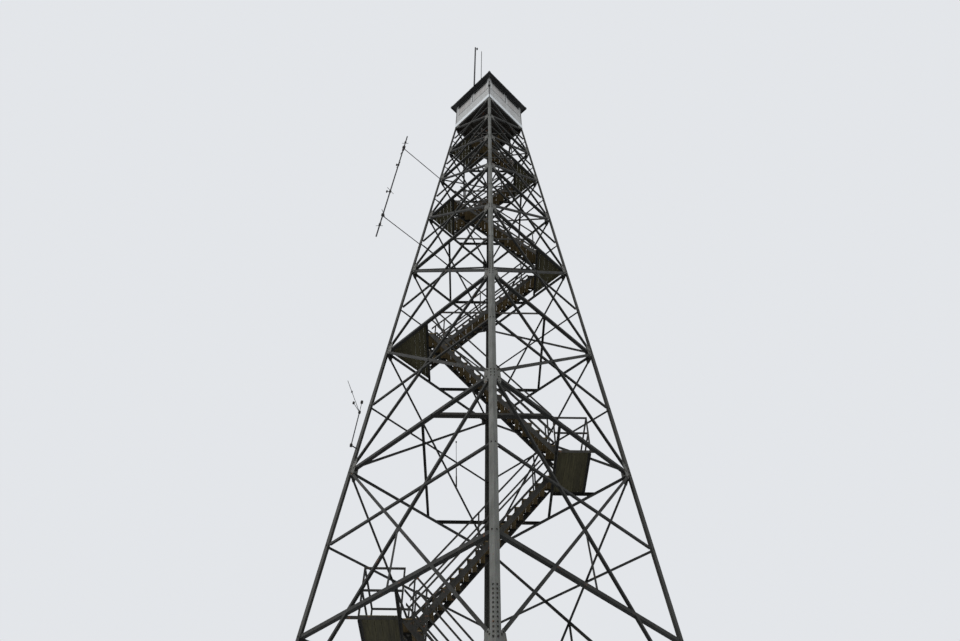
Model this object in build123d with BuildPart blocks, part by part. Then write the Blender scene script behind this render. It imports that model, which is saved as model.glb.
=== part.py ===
from build123d import *
import math
import os

# Steel fire lookout tower with a stair inside and a small square cab on top.
# Millimetres, +Z up, origin on the ground under the middle of the cab.
# The four corners are called front, right, back and left, with front at (+X, -Y).

# Overall form
cab_width = 2134
batter = 0.0771
landing_heights = [4410, 8820, 13230, 17710, 21800, 25170, 27990, 30320]
wide_landings = 3
cab_rise = 2420

# Footings
pier_width = 560
pier_height = 250
foot_plate = 340
foot_thickness = 20

# Legs, as steel angles that get lighter in steps
leg_thickness = 12
leg_widths = [152, 127, 102, 89]
leg_splices = [6615, 17710, 25170]

# Face bracing
brace_thickness = 8
girt_width = 89
strut_width = 64
diagonal_width = 70
girt_reach = 89
diagonal_reach = 56
heel_gap = 30
fin_gap = 165
foot_joint = 560
clearance = 0.3

# Level frames and landings
tie_width = 64
tie_depth = 75
tie_share = 0.455
middle_tie_shares = (0.455, 0.605)
corner_tie_share = 0.5
deck_thickness = 38
deck_face_gap = 84
deck_tip = 220
deck_width = 1700
deck_depth = 860
corner_deck_share = 0.42
rail_height = 1075
rail_size = 38

# Stairs
flight_width = 620
flight_gap = 300
side_clearance = 20
first_pitch = 52
chord_depth = 50
side_thickness = 30
handrail_heights = [950, 380]
riser_target = 245
tread_depth = 235
tread_thickness = 38
post_spacing = 2600
hatch_edge = 630
hatch_length = 1000
hatch_clearance = 10

# Cab
platform_thickness = 50
joist_depth = 100
joist_width = 50
joist_count = 5
wall_thickness = 60
wall_height = 2000
sill_height = 950
head_gap = 200
window_width = 850
window_count = 2
glass_thickness = 6
eave_overhang = 210
eave_drop = 80
eave_board = 28
roof_rise = 680
roof_thickness = 28

# Masts and antennas
roof_masts_over_eave = [(340, 4510, 34), (790, 3160, 22)]
mast_foot = 160
mast_standoff = 40
mast_bracket = 30
array_arms = [(9390, 1717), (4740, 1940)]
array_ends = (10610, 3790)
array_mast = 48
array_arm = 34
array_elements = [
    (4340, 260, 45),
    (4890, 420, 167),
    (5990, 300, 167),
    (7790, 340, 98),
    (9230, 320, 120),
    (9990, 240, 45),
]
element_size = 20
side_mast_rise = 670
side_mast_reach = 180
side_mast = (0, 80, 1220)
side_whip = (0, -560, 820)
side_stubs = [(0, 20, 390), (0, -240, 190)]
far_whip_foot = (1110, 1385)
far_whip_tip = (920, 2920)
far_whip_share = 0.4

slope_length = math.hypot(1, batter)
bay_level = leg_splices[0]
floor_height = landing_heights[-1] + cab_rise
deck_heights = [level + deck_thickness for level in landing_heights]
platform_bottom = floor_height - platform_thickness - joist_depth
corner_names = ["front", "right", "back", "left"]
face_names = ["front_right", "back_right", "back_left", "front_left"]

os.makedirs("parts", exist_ok=True)


def half(height):
    """Half the width of the tower over the outer faces at a height."""
    return cab_width / 2 + batter * (floor_height - height)


def save(piece, name):
    """Names a finished piece and writes its file."""
    piece.part.label = name
    export_step(piece.part, f"parts/{name}.step")


def strip(start, end, width, shift=0.0):
    """Draws a straight strip between two points of a sketch, moved to its left by shift."""
    start, end = Vector(*start), Vector(*end)
    run = end - start
    left = Vector(-run.Y, run.X).normalized()
    middle = (start + end) * 0.5 + left * shift
    angle = math.degrees(math.atan2(run.Y, run.X))
    with Locations(Location((middle.X, middle.Y), angle)):
        Rectangle(run.length, width)


# Footings: one square pier under each leg
with BuildPart() as footings:
    with BuildSketch():
        spread = 2 * (half(0) - foot_plate / 2)
        with GridLocations(spread, spread, 2, 2):
            Rectangle(pier_width, pier_width)
    extrude(amount=pier_height)
save(footings, "footings")


def angle_section(heel, width, thickness):
    """Draws an L with its heel at (heel, -heel) and its flanges towards -X and +Y."""
    x, y = heel, -heel
    Polygon(
        (x, y),
        (x, y + width),
        (x - thickness, y + width),
        (x - thickness, y + thickness),
        (x - width, y + thickness),
        (x - width, y),
        align=None,
    )


# Legs: battered angles on a foot plate
def leg(turn):
    around = Plane.XY.rotated((0, 0, turn))
    lean = around.x_dir * -batter + around.y_dir * batter + around.z_dir
    foot = pier_height + foot_thickness
    stops = [foot, *leg_splices, platform_bottom]
    with BuildPart() as piece:
        centre = half(0) - foot_plate / 2
        with BuildSketch(around.offset(pier_height)):
            with Locations((centre, -centre)):
                Rectangle(foot_plate, foot_plate)
        extrude(amount=foot_thickness)
        for low, high, width in zip(stops, stops[1:], leg_widths):
            with BuildSketch(around.offset(low)):
                angle_section(half(low), width, leg_thickness)
            extrude(amount=(high - low) * lean.length, dir=lean)
    return piece


for index, name in enumerate(corner_names):
    save(leg(90 * index), f"{name}_leg")


# The battered plane on the inner side of the leg flanges of the +X face
face_plane = Plane(
    origin=(half(0) - leg_thickness, 0, 0), x_dir=(0, 1, 0), z_dir=(1, 0, batter)
)
inward = (-1, 0, 0)


def cross(low, high):
    """The two diagonals of a face panel, from corner to corner."""
    return [
        ((side * half(low), low), (-side * half(high), high), diagonal_width)
        for side in (1, -1)
    ]


def across(level, width):
    """A level bar of a face, with its top edge at the level."""
    middle = level - width / 2 / slope_length
    return [((-half(level), middle), (half(level), middle), width)]


def face_strips(bars):
    """Draws the flat legs of the bars of a face."""
    for (u_start, z_start), (u_end, z_end), width in bars:
        start = (u_start, z_start * slope_length)
        end = (u_end, z_end * slope_length)
        strip(start, end, width)


def face_fins(bars):
    """Draws the standing legs of the bars, along their lower edges."""
    for (u_start, z_start), (u_end, z_end), width in bars:
        start = (u_start, z_start * slope_length)
        end = (u_end, z_end * slope_length)
        side = 1 if u_end > u_start else -1
        strip(start, end, brace_thickness, side * (brace_thickness - width) / 2)


def face_limit(low, high, gap):
    """Keeps what lies between two heights and inside the legs."""
    Polygon(
        (-half(low) + gap, low * slope_length),
        (half(low) - gap, low * slope_length),
        (half(high) - gap, high * slope_length),
        (-half(high) + gap, high * slope_length),
        align=None,
        mode=Mode.INTERSECT,
    )


def bracing(low, high, groups):
    """The +X side of the lattice between two heights, in one piece."""
    with BuildPart() as piece:
        with BuildSketch(face_plane):
            for bars, reach in groups:
                face_strips(bars)
            face_limit(low, high, heel_gap)
        extrude(amount=brace_thickness, dir=inward)
        for bars, reach in groups:
            if reach:
                with BuildSketch(face_plane):
                    face_fins(bars)
                    face_limit(low, high, fin_gap)
                extrude(amount=brace_thickness + reach, dir=inward)
    return piece


first, second, third = landing_heights[:3]
bay_top = bay_level + strut_width / 2
base_groups = [
    (across(first, girt_width), girt_reach),
    (across(first / 2, strut_width) + across(bay_top, strut_width), 0),
    (cross(foot_joint, bay_level), diagonal_reach),
]
crossing = bay_level + (third - bay_level) * half(bay_level) / (
    half(bay_level) + half(third)
)
hanger = [((0, second), (0, crossing), strut_width)]
levels = [*landing_heights[2:], platform_bottom]
upper_girts = [bar for level in [second, *levels] for bar in across(level, girt_width)]
mid_levels = [(low + high) / 2 for low, high in zip(levels, levels[1:])]
mid_levels.append((second + third) / 2)
upper_struts = [bar for level in mid_levels for bar in across(level, strut_width)]
panels = zip([bay_level, *levels], levels)
upper_crosses = [bar for low, high in panels for bar in cross(low, high)]
upper_groups = [
    (upper_girts, girt_reach),
    (upper_struts, 0),
    (upper_crosses, diagonal_reach),
    (hanger, 0),
]
base_side = bracing(pier_height + foot_thickness, bay_top, base_groups)
upper_side = bracing(bay_top, platform_bottom, upper_groups)
for index, name in enumerate(face_names):
    with BuildPart() as base_bracing:
        add(base_side.part, rotation=(0, 0, 90 * index))
    save(base_bracing, f"{name}_base_bracing")
    with BuildPart() as upper_bracing:
        add(upper_side.part, rotation=(0, 0, 90 * index))
    save(upper_bracing, f"{name}_bracing")


def landing_plane(index):
    """A level plane with its X axis towards the corner where a landing lies."""
    turn = 45 if index % 2 == 0 else 225
    return Plane.XY.rotated((0, 0, turn))


def corner_reach(index):
    """How far the corners of the tower are from its middle at a landing."""
    return half(landing_heights[index]) * math.sqrt(2)


def deck_edge(index):
    """How far the inner edge of a landing is from the middle of the tower."""
    reach = corner_reach(index)
    if index < wide_landings:
        return tie_share * reach - tie_width / 2
    room = flight_gap / 2 + flight_width + side_clearance
    narrow = reach - (deck_face_gap + batter * rail_height) * math.sqrt(2)
    return min((1 - corner_deck_share) * reach, narrow - room)


def level_bars(index):
    """The bars of a landing's frame, each with its standing leg's edge on its left."""
    reach = corner_reach(index)
    inner = deck_edge(index)
    front = inner + tie_width / 2
    outer = inner + deck_depth + rail_size - tie_width / 2
    side = deck_width / 2 + rail_size - tie_width / 2
    clear = tie_width / 2 + clearance
    deck_bars = [
        ((front, reach), (front, -reach)),
        ((front + clear, side), (reach, side)),
        ((reach, -side), (front + clear, -side)),
        ((outer, side - clear), (outer, clear - side)),
    ]
    if index < wide_landings - 1:
        return deck_bars
    if index < wide_landings:
        back, end = (share * reach for share in middle_tie_shares)
        return deck_bars + [
            ((-back, -reach), (-back, reach)),
            ((-reach, end), (reach, end)),
            ((reach, -end), (-reach, -end)),
        ]
    end = corner_tie_share * reach
    short = end - clear
    return [
        ((front, short), (front, -short)),
        ((-end, -short), (-end, short)),
        ((-reach, end), (reach, end)),
        ((reach, -end), (-reach, -end)),
    ]


def tower_square(index, gap):
    """Keeps what lies inside the tower at a landing, clear of the faces by a gap."""
    corner = corner_reach(index) - gap * math.sqrt(2)
    Polygon(
        (corner, 0),
        (0, corner),
        (-corner, 0),
        (0, -corner),
        align=None,
        mode=Mode.INTERSECT,
    )


def landing_frame(index):
    """The level ties at a landing, the beams under its deck and its rails."""
    level = landing_heights[index]
    plane = landing_plane(index)
    bars = level_bars(index)
    gap = leg_thickness + brace_thickness + clearance
    with BuildPart() as piece:
        with BuildSketch(plane.offset(level - brace_thickness)):
            for start, end in bars:
                strip(start, end, tie_width)
            tower_square(index, gap)
        extrude(amount=brace_thickness)
        with BuildSketch(plane.offset(level - tie_depth)):
            for start, end in bars:
                strip(start, end, brace_thickness, (tie_width - brace_thickness) / 2)
            tower_square(index, gap)
        extrude(amount=tie_depth)
        if index < wide_landings:
            inner = deck_edge(index) + rail_size / 2
            outer = inner + deck_depth
            side = deck_width / 2
            foot = level + clearance
            top = deck_heights[index] + rail_height
            heights = (top - rail_size / 2, top - rail_height / 2)
            for face in (side + rail_size, -side):
                with BuildSketch(side_plane(index, face)):
                    for post in (inner, outer):
                        strip((post, foot), (post, top), rail_size)
                    for height in heights:
                        strip((inner, height), (outer, height), rail_size)
                extrude(amount=rail_size)
            for height in heights:
                with BuildSketch(plane.offset(height - rail_size / 2)):
                    strip((outer, clearance - side), (outer, side - clearance), rail_size)
                extrude(amount=rail_size)
    return piece


def side_plane(index, distance):
    """An upright plane along a flight, facing the middle of the tower."""
    along = landing_plane(index)
    return Plane(
        origin=along.y_dir * distance, x_dir=along.x_dir, z_dir=-along.y_dir
    )


# Landing decks: a plank floor across the beams of each frame
with BuildPart() as landing_decks:
    for index, level in enumerate(landing_heights):
        with BuildSketch(landing_plane(index).offset(level)):
            inner = deck_edge(index)
            if index < wide_landings:
                with Locations((inner + deck_depth / 2, 0)):
                    Rectangle(deck_depth, deck_width)
            else:
                reach = corner_reach(index)
                Polygon(
                    (inner, -reach),
                    (reach - deck_tip, -reach),
                    (reach - deck_tip, reach),
                    (inner, reach),
                    align=None,
                )
                tower_square(index, deck_face_gap)
        extrude(amount=deck_thickness)
save(landing_decks, "landing_decks")

for index in range(len(landing_heights)):
    save(landing_frame(index), f"landing_frame_{index + 1}")


def flight_ends(index):
    """The edges between which a flight runs, as (distance, height), in its landing's plane."""
    if index == len(landing_heights):
        high = (hatch_edge, floor_height)
    else:
        high = (deck_edge(index), deck_heights[index])
    if index == 0:
        run = high[1] / math.tan(math.radians(first_pitch))
        return (high[0] - run, 0), high
    return (-deck_edge(index - 1), deck_heights[index - 1]), high


def nosing_line(index):
    """The line through the front edges of a flight's treads, the last level with the top."""
    back = Vector(tread_depth, 0)
    low, high = (Vector(*point) - back for point in flight_ends(index))
    return low, high


def side_lines(index):
    """The posts and handrails beside a flight."""
    low, high = nosing_line(index)
    run = high - low
    drop = Vector(0, tread_depth * run.Y / run.X + tread_thickness)
    posts = max(2, round(run.length / post_spacing) + 1)
    lines = []
    for step in range(posts):
        foot = low + run * ((step + 0.25) / (posts - 0.6))
        lines.append((foot - drop, foot + Vector(0, handrail_heights[0])))
    for rise in handrail_heights:
        lift = Vector(0, rise - rail_size / 2)
        lines.append((low + lift - run, high + lift + run))
    return lines


def flight_limit(index, top):
    """Keeps what lies between the two ends of a flight and below a height."""
    (start, low), (end, high) = flight_ends(index)
    if index == 0:
        start, bottom = start - 2 * tread_depth, 0
    else:
        bottom = low - tie_depth - deck_thickness
    Polygon(
        (start, bottom),
        (end, bottom),
        (end, top),
        (start, top),
        align=None,
        mode=Mode.INTERSECT,
    )


def flight(index):
    """The two sides of a flight: a pair of chords, posts and handrails in one plane."""
    low, high = nosing_line(index)
    run = high - low
    drop = Vector(0, tread_depth * run.Y / run.X + tread_thickness)
    last = index == len(landing_heights)
    rail_top = platform_bottom - rail_size if last else high.Y + handrail_heights[0]
    inner_face = flight_gap / 2
    outer_face = inner_face + flight_width
    with BuildPart() as piece:
        for face in (inner_face + side_thickness, outer_face):
            with BuildSketch(side_plane(index, face)):
                for start, end in side_lines(index):
                    strip(start, end, rail_size)
                flight_limit(index, rail_top)
                strip(low - run, high, chord_depth)
                strip(low - drop - run, high - drop + run, chord_depth)
                flight_limit(index, max(high.Y, rail_top))
            extrude(amount=side_thickness)
    return piece


flight_count = len(landing_heights) + 1
for index in range(flight_count):
    save(flight(index), f"flight_{index + 1}")

for group, name in enumerate(["lower_treads", "middle_treads", "upper_treads"]):
    with BuildPart() as tread_group:
        for index in range(3 * group, 3 * group + 3):
            low, high = nosing_line(index)
            count = round((high.Y - low.Y) / riser_target)
            rise = (high - low) / count
            face = flight_gap / 2 + flight_width - side_thickness
            with BuildSketch(side_plane(index, face)):
                for step in range(1, count + 1):
                    nosing = low + rise * step
                    with Locations((nosing.X, nosing.Y - tread_thickness)):
                        Rectangle(tread_depth, tread_thickness, align=Align.MIN)
            extrude(amount=flight_width - 2 * side_thickness)
    save(tread_group, name)

# Cab floor: planks on joists, with the hatch where the last flight arrives
with BuildPart() as cab_floor:
    with BuildSketch(Plane.XY.offset(platform_bottom)):
        spacing = (cab_width - joist_width) / (joist_count - 1)
        with GridLocations(spacing, 0, joist_count, 1):
            Rectangle(joist_width, cab_width)
        with GridLocations(0, cab_width - joist_width, 1, 2):
            Rectangle(cab_width, joist_width)
    extrude(amount=joist_depth)
    with BuildSketch(Plane.XY.offset(platform_bottom + joist_depth)):
        Rectangle(cab_width, cab_width)
    extrude(amount=platform_thickness)
    hatch_plane = landing_plane(len(landing_heights)).offset(platform_bottom)
    hatch_width = flight_width + 2 * hatch_clearance
    hatch_middle = (hatch_edge - hatch_length / 2, (flight_gap + flight_width) / 2)
    with BuildSketch(hatch_plane):
        with Locations(hatch_middle):
            Rectangle(hatch_length + 2 * joist_width, hatch_width + 2 * joist_width)
    extrude(amount=joist_depth)
    with BuildSketch(hatch_plane):
        with Locations(hatch_middle):
            Rectangle(hatch_length, hatch_width)
    extrude(amount=joist_depth + platform_thickness, mode=Mode.SUBTRACT)
save(cab_floor, "cab_floor")


def wall_plane(turn):
    """An upright plane on the outer face of one cab wall."""
    around = Plane.XY.rotated((0, 0, turn))
    return Plane(
        origin=around.x_dir * (cab_width / 2), x_dir=around.y_dir, z_dir=around.x_dir
    )


window_height = wall_height - head_gap - sill_height
window_middle = floor_height + sill_height + window_height / 2
window_spacing = (cab_width - 2 * wall_thickness) / window_count

# Cab walls: two full-width walls and two between them, with windows cut through
for index, name in enumerate(face_names):
    width = cab_width - 2 * wall_thickness * (index % 2 == 0)
    with BuildPart() as wall:
        with BuildSketch(wall_plane(90 * index)):
            with Locations((0, floor_height + wall_height / 2)):
                Rectangle(width, wall_height)
            with Locations((0, window_middle)):
                with GridLocations(window_spacing, 0, window_count, 1):
                    Rectangle(window_width, window_height, mode=Mode.SUBTRACT)
        extrude(amount=-wall_thickness)
    save(wall, f"{name}_wall")

# Window glass: one pane in the middle of each window opening
with BuildPart() as window_glass:
    for index in range(len(face_names)):
        glass_plane = wall_plane(90 * index).offset((glass_thickness - wall_thickness) / 2)
        with BuildSketch(glass_plane):
            with Locations((0, window_middle)):
                with GridLocations(window_spacing, 0, window_count, 1):
                    Rectangle(window_width, window_height)
        extrude(amount=-glass_thickness)
save(window_glass, "window_glass")

wall_top = floor_height + wall_height
eave_width = cab_width + 2 * eave_overhang
roof_pitch = roof_rise / (eave_width / 2)


def hipped(width, foot):
    """Four equal slopes over a square, with their foot at a height."""
    with BuildPart() as piece:
        for plane, mode in ((Plane.XZ, Mode.ADD), (Plane.YZ, Mode.INTERSECT)):
            with BuildSketch(plane):
                Polygon(
                    (-width / 2, foot),
                    (width / 2, foot),
                    (0, foot + roof_pitch * width / 2),
                    align=None,
                )
            extrude(amount=width / 2, both=True, mode=mode)
    return piece


# Roof: a thin hipped shell on a flat eave, with a board hanging round its edge
roof_slope = math.atan(roof_pitch)
slope_inset = roof_thickness / math.sin(roof_slope) + roof_thickness / roof_pitch
roof_outside = hipped(eave_width, wall_top)
roof_inside = hipped(eave_width - 2 * slope_inset, wall_top + roof_thickness)
with BuildPart() as cab_roof:
    add(roof_outside.part)
    add(roof_inside.part, mode=Mode.SUBTRACT)
    with BuildSketch(Plane.XY.offset(wall_top)):
        Rectangle(cab_width - 2 * wall_thickness, cab_width - 2 * wall_thickness)
    extrude(amount=roof_thickness, mode=Mode.SUBTRACT)
    with BuildSketch(Plane.XY.offset(wall_top - eave_drop)):
        board_inside = eave_width - 2 * eave_board
        Rectangle(eave_width, eave_width)
        Rectangle(board_inside, board_inside, mode=Mode.SUBTRACT)
    extrude(amount=eave_drop)
save(cab_roof, "cab_roof")

# Roof masts: two rods bracketed to the eave board over the front left wall
with BuildPart() as roof_masts:
    for x, length, diameter in roof_masts_over_eave:
        y = -eave_width / 2 - mast_standoff
        with Locations((x, y + mast_standoff / 2, wall_top - eave_drop / 2)):
            Box(mast_bracket, mast_standoff, mast_bracket)
        with BuildSketch(Plane.XY.offset(wall_top - mast_foot)):
            with Locations((x, y)):
                RegularPolygon(diameter / 2, 6)
        extrude(amount=length + mast_foot)
save(roof_masts, "roof_masts")


def rods(pieces):
    """Rods between pairs of points, fused into one piece: thick ones six-sided, thin ones square."""
    with BuildPart() as piece:
        for start, end, diameter in pieces:
            sides = 6 if diameter > element_size else 4
            with BuildSketch(Plane(origin=start, z_dir=end - start)):
                RegularPolygon(diameter / 2, sides)
            extrude(amount=(end - start).length)
    return piece


def off_left_leg(height, reach):
    """A point straight out from the heel of the left leg at a height."""
    edge = half(height)
    return Vector(-edge, -edge - reach, height)


def array_point(drop):
    """The centre of the antenna array's mast at a depth below the cab floor."""
    (low_drop, low_reach), (high_drop, high_reach) = array_arms
    low = off_left_leg(floor_height - low_drop, low_reach)
    high = off_left_leg(floor_height - high_drop, high_reach)
    return low + (high - low) * ((low_drop - drop) / (low_drop - high_drop))


# Antenna array: a mast held off the left leg by two arms, with its elements
low_end, high_end = (array_point(drop) for drop in array_ends)
array_rods = [(low_end, high_end, array_mast)]
for drop, arm_length in array_arms:
    height = floor_height - drop
    flange = half(height - array_arm / 2) + clearance
    start = Vector(-flange + leg_widths[-1] / 2, -flange, height)
    array_rods.append((start, array_point(drop), array_arm))
for drop, length, turn in array_elements:
    middle = array_point(drop)
    across_mast = Vector(length / 2, 0, 0).rotate(Axis.Z, turn)
    array_rods.append((middle - across_mast, middle + across_mast, element_size))
save(rods(array_rods), "antenna_array")

# Side antenna: a short whip with two stubs, bracketed to the left leg
height = third + side_mast_rise
flange = half(height - array_arm / 2) + clearance
foot = Vector(-flange + leg_widths[1] / 2, -flange, height)
hold = foot + Vector(0, -side_mast_reach, 0)
top = hold + Vector(*side_mast)
side_rods = [(foot, hold, array_arm), (hold, top, array_arm)]
for reach in (side_whip, *side_stubs):
    side_rods.append((top, top + Vector(*reach), element_size))
save(rods(side_rods), "side_antenna")


def back_left_point(across_face, height):
    """A point against the bars of the back left side, off their inner face."""
    depth = leg_thickness + brace_thickness + clearance + array_arm / 2 * math.cos(math.pi / 6)
    return Vector(depth - half(height), across_face, height)


# Far whip: a thin whip on a thicker foot, against the bars of the back left side
(low_across, low_rise), (high_across, high_rise) = far_whip_foot, far_whip_tip
foot = back_left_point(low_across, third + low_rise)
tip = back_left_point(high_across, third + high_rise)
neck = foot + (tip - foot) * far_whip_share
save(rods([(foot, neck, array_arm), (foot, tip, element_size)]), "far_whip")
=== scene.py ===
import math

import bmesh
import bpy
from mathutils import Matrix, Vector


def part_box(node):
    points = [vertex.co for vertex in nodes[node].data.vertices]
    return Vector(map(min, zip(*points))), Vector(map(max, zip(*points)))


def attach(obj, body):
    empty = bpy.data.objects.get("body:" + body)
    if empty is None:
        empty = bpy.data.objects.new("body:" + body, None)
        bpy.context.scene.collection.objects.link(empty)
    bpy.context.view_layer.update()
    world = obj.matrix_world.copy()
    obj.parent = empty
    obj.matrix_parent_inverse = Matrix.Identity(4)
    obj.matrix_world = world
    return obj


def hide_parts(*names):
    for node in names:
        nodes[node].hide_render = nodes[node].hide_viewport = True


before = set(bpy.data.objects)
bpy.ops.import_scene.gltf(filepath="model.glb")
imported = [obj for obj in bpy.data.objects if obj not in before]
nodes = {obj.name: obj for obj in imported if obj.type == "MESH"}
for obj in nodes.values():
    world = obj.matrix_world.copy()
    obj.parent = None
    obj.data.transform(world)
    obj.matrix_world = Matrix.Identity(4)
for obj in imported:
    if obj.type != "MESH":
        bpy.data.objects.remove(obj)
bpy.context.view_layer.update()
BODY = "root"

# Camera of the photograph: place in metres, angles in degrees, lens and sensor in millimetres
CAMERA_PLACE = (10.746, -11.173, 1.146)
CAMERA_HEADING = 134.979
CAMERA_PITCH = 49.354
CAMERA_ROLL = 0.661
CAMERA_LENS = 28.037
SENSOR_WIDTH = 36

# Light and surroundings
FLOOR_REACH = 400
FLOOR_SIDES = 96
FLOOR_SHOWN = (0.62, 0.63, 0.65, 1)
FLOOR_BOUNCE = (0.16, 0.155, 0.15, 1)
SKY_SHOWN = (0.77, 0.79, 0.82, 1)
SKY_LIGHT = (0.90, 0.95, 1.0, 1)
SKY_STRENGTH = 0.75

# Wear, the same on every finish of a kind
STEEL_RUST = (0.13, 0.055, 0.025, 1)
STEEL_STREAKS = (14, 14, 1.2)
RUST_EDGE = 0.74
RUST_GAIN = 0.12
RUST_SOFTNESS = 0.07
WOOD_RUST = (0.15, 0.050, 0.020, 1)
WOOD_RUST_SOFTNESS = 0.06
WOOD_STAIN = (0.35, 0.33, 0.28)
GRAIN_ACROSS = 38.0
GRAIN_ALONG = 1.6
STAIN_ACROSS = 5.0
STAIN_ALONG = 0.7
BARE_PAINT = (0.28, 0.24, 0.20, 1)
PAINT_STREAKS = (9, 9, 0.8)

# Measures read from the frame
CAB_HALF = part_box("front_right_wall")[1][0]
BASE_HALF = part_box("front_leg")[1][0]
FLOOR_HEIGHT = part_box("cab_floor")[1][2]
PLATFORM_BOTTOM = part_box("cab_floor")[0][2]
WALL_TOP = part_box("front_right_wall")[1][2]
GLASS_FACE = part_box("window_glass")[1][0]
EAVE_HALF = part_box("cab_roof")[1][0]
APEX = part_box("cab_roof")[1][2]
MAST_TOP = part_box("roof_masts")[1][2]
PIER_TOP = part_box("footings")[1][2]
BATTER = (BASE_HALF - CAB_HALF) / FLOOR_HEIGHT
ROOF_RISE = (APEX - WALL_TOP) / EAVE_HALF

# The four sides of the tower, as quarter turns from the side that faces +X
SIDES = range(4)

# Directions: level ones towards the right and left corners, and up
DIAGONAL = math.sqrt(0.5)
RIGHTWARD = (DIAGONAL, DIAGONAL)
LEFTWARD = (-DIAGONAL, -DIAGONAL)
UP = Vector((0, 0, 1))

# A direction that no round bar follows
ASKEW = Vector((0.3, 0.9, 0.2))

# How close points are one, how little a corner may bend, and how high a bar's end is
WELD = 1e-5
STRAIGHT = 1e-9
END_BAND = 0.03

# Bars of the sides: depths in from the legs' outer faces, and sizes as in the part
BAR_FRONT = 0.012
BAR_BACK = 0.020
GIRT_WIDTH = 0.089
STRUT_WIDTH = 0.064
STRUT_FIN = 0.046
FIN_THICKNESS = 0.006
FIN_GAP = 0.165
FOOT_JOINT = 0.56
FOOT_PLATE = 0.34
FOOT_THICKNESS = 0.02

# Joint plates: the start is measured from the leg's outer edge, and reaches from there
PLATE_START = 0.118
PLATE_REACH = 0.22
GIRT_PLATE_REACH = 0.165
PLATE_HALF = 0.17
PLATE_MARGIN = 0.045
PLATE_DEPTH = 0.004
PLATE_THICKNESS = 0.0078

# Bolts: a turn in degrees, and reaches and an edge from the leg's outer edge
BOLT_RADIUS = 0.017
BOLT_HEAD = 0.012
BOLT_NUT = 0.016
BOLT_TURN = 17
BOLT_REACHES = (0.20, 0.27)
DIAGONAL_BOLT_SHIFT = 0.03
LEG_BOLT_EDGE = 0.055
LEG_BOLT_LIFT = 0.1105

# Leg splices: heights are measured from the joint below them
SPLICE_START = 0.10
SPLICE_PITCH = 0.085
SPLICE_BOLTS = 12
SPLICE_EDGE = 0.047
SPLICE_ANGLE = (0.28, 0.86)
SPLICE_WIDTH = 0.075

# Planks, and steel of the flights: webs are measured from the lower edge of a flight's side
BOARD_WIDTH = 0.140
BOARD_GAP = 0.004
BOARD_BEVEL = 0.003
PLANK_GAP = 0.005
CLEAT = 0.035
TIE_FLANGE = 0.125
STRINGER_BOTTOM = 0.045
STRINGER_TOP = 0.130
STRINGER_WEB = 0.008
STRINGER_TRIM = 0.10

# Cab boards: the skirt is measured from the cab's floor, and the near-black board of painted shade under
# the eave from the top of the walls
CORNER_POST = 0.138
SKIRT = (-0.12, 0.16)
SKIRT_THICKNESS = 0.022
SKIRT_BEVEL = 0.004
SHADE_BOARD_HEIGHT = 0.20
SHADE_BOARD_THICKNESS = 0.012
SHADE_BOARD_BEVEL = 0.002
EAVE_GAP = 0.001
CORNER_TRIM = 0.038
MULLION_HALF = 0.023
TRIM_THICKNESS = 0.006

# Windows: heights are measured from the cab's floor
SILL_HEIGHT = 0.95
PANEL_TOP = 1.61
HEAD_HEIGHT = 1.80
WINDOW_CENTRE = 0.5035
WINDOW_HALF = 0.425
GLASS_GAP = 0.001
SASH_PROUD = 0.006
SASH_STILE = 0.040
SASH_RAIL = 0.03
SASH_BEVEL = 0.002
SILL_DEPTH = 0.035
SILL_SPREAD = 0.03
SILL_PROUD = 0.008
SILL_BEVEL = 0.003
PANEL_THICKNESS = 0.012
PANEL_BEVEL = 0.001

# Roof trim
SEAM_COUNT = 6
SEAM_HALF = 0.008
SEAM_HEIGHT = 0.014
SEAM_START = 0.02
HIP_WIDTH = 0.09
HIP_START = 0.04
HIP_THICKNESS = 0.018
TOP_CAP_RADII = (0.10, 0.02)
TOP_CAP_HEIGHT = 0.10
TOP_CAP_LIFT = 0.02
TOP_CAP_SIDES = 12

# Conduit and round box on the cab's front corner
CONDUIT_STANDOFF = 0.02
CONDUIT_RADIUS = 0.016
CONDUIT_FOOT = 0.02
CONDUIT_TOP = 0.98
BOX_BACK = 0.03
BOX_FRONT = 0.045
BOX_RADIUS = 0.055

# Masts at the eave
TALL_MAST_RADIUS = 0.036
SHORT_MAST_RADIUS = 0.015
BRACKET_HALF = 0.045
BRACKET_HEIGHT = 0.10
KNOB_DROP = 0.16
KNOB_REACH = 0.065
KNOB_ARM_RADIUS = 0.012
KNOB_LENGTH = 0.14
KNOB_RADIUS = 0.038

# Clamps of the antenna array: share up its mast, radius, and reach of an arm to the left.
# The arm and the clamp at its end are shares of that radius.
CLAMP_HALF = 0.045
CLAMP_ARM_SHARE = 1 / 3
END_CLAMP_SHARE = 0.7
ARRAY_CLAMPS = (
    (0.103, 0.042, 0),
    (0.186, 0.055, 0),
    (0.405, 0.042, 0.12),
    (0.678, 0.038, 0.07),
    (0.843, 0.042, 0),
    (0.872, 0.060, 0),
    (0.930, 0.040, 0),
)

# Knobs of the small antenna: reach towards +Y and lift from its tip, and radius
SIDE_KNOBS = (
    (0.56, -0.82, 0.036),
    (0.58, -0.43, 0.038),
    (0.32, -0.63, 0.032),
    (0.20, -0.29, 0.022),
    (0.48, -2.04, 0.038),
)

# Thicker foot and tip of the far whip, as shares of its length
WHIP_FOOT = 0.22
WHIP_TIP = 0.03
WHIP_RADIUS = 0.022

# Footings
PIER_BEVEL = 0.02
ANCHOR_INSET = 0.045
ANCHOR_NUT_RADIUS = 0.022
ANCHOR_NUT_HEIGHT = 0.02
ANCHOR_RADIUS = 0.012
ANCHOR_LENGTH = 0.05


# Shader helpers
def material(name):
    """An empty node material and its parts."""
    made = bpy.data.materials.new(name)
    made.use_nodes = True
    tree = made.node_tree
    return made, tree, tree.nodes["Principled BSDF"]


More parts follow.
